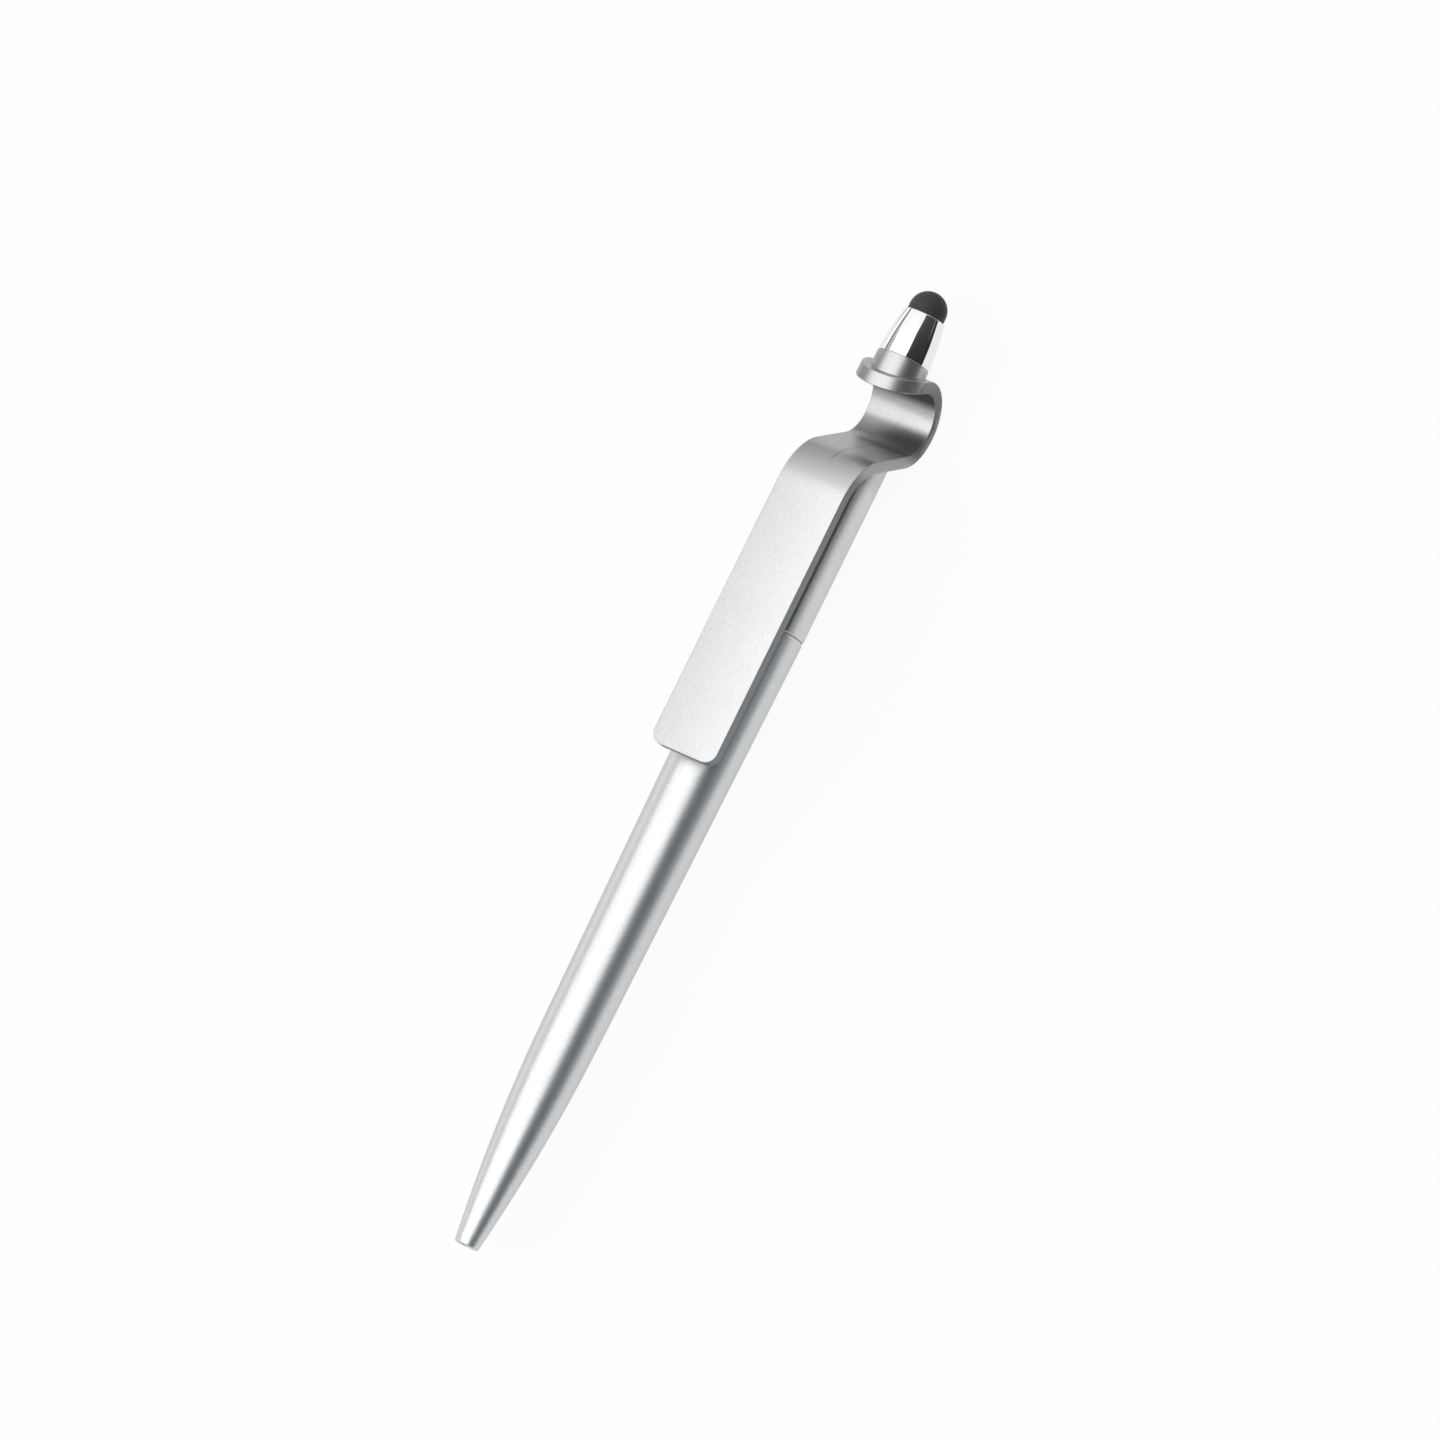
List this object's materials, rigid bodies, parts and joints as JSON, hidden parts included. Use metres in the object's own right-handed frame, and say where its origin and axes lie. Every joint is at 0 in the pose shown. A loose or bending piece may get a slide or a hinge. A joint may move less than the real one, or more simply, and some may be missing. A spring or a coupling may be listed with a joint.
{
  "type": "stylus pen",
  "caption": "Twist-action ballpoint pen whose broad flat clip bends over the top into a C-shaped phone stand, ending in a chrome ferrule with a soft dome nib for touch screens.",
  "frame": {"origin": "on the table under the middle of the pen's length, with the pen lying clip upwards", "axes": "+X along the pen from the writing end to the stylus, +Z out of the clip's flat face, Y across the clip"},
  "size_m": [0.148, 0.0104, 0.0172],
  "materials": {
    "barrel_silver": "silver metallic paint, satin",
    "body_silver": "silver metallic paint, satin",
    "mechanism_white": "moulded acetal",
    "mechanism_black": "moulded acetal",
    "tube_clear": "translucent polypropylene tube",
    "ink": "blue-black paste",
    "grease": "clear yellow grease",
    "adapter_white": "moulded polypropylene",
    "point_metal": "turned nickel silver",
    "ball_metal": "ground carbide",
    "spring_steel": "bright wire",
    "core_black": "moulded conductive plastic",
    "ferrule_chrome": "polished chrome plate",
    "nib_rubber": "matte conductive silicone"
  },
  "bodies": {
    "barrel": {"lower_barrel": "barrel_silver", "guide_sleeve": "mechanism_white", "mechanism_cap": "mechanism_white", "return_spring": "spring_steel"},
    "top": {"upper_body": "body_silver", "cam_sleeve": "mechanism_black", "nib_core": "core_black", "stylus_ferrule": "ferrule_chrome", "stylus_nib": "nib_rubber"},
    "refill": {"pusher": "mechanism_black", "refill_tube": "tube_clear", "ink_column": "ink", "ink_follower": "grease", "point_adapter": "adapter_white", "point_holder": "point_metal", "writing_ball": "ball_metal"}
  },
  "joints": [
    {"name": "twist", "type": "hinge", "parent": "barrel", "child": "top", "pos_m": [0.02125, 0, 0.00937], "axis": [-1, 0, 0], "range_deg": [0, 120]},
    {"name": "refill_slide", "type": "slide", "parent": "barrel", "child": "refill", "axis": [-1, 0, 0], "range_m": [0, 0.0045], "deforming": ["return_spring"]}
  ],
  "couplings": [
    {"joint": "refill_slide", "follows": "twist", "m_per_rad": 0.0021485}
  ]
}
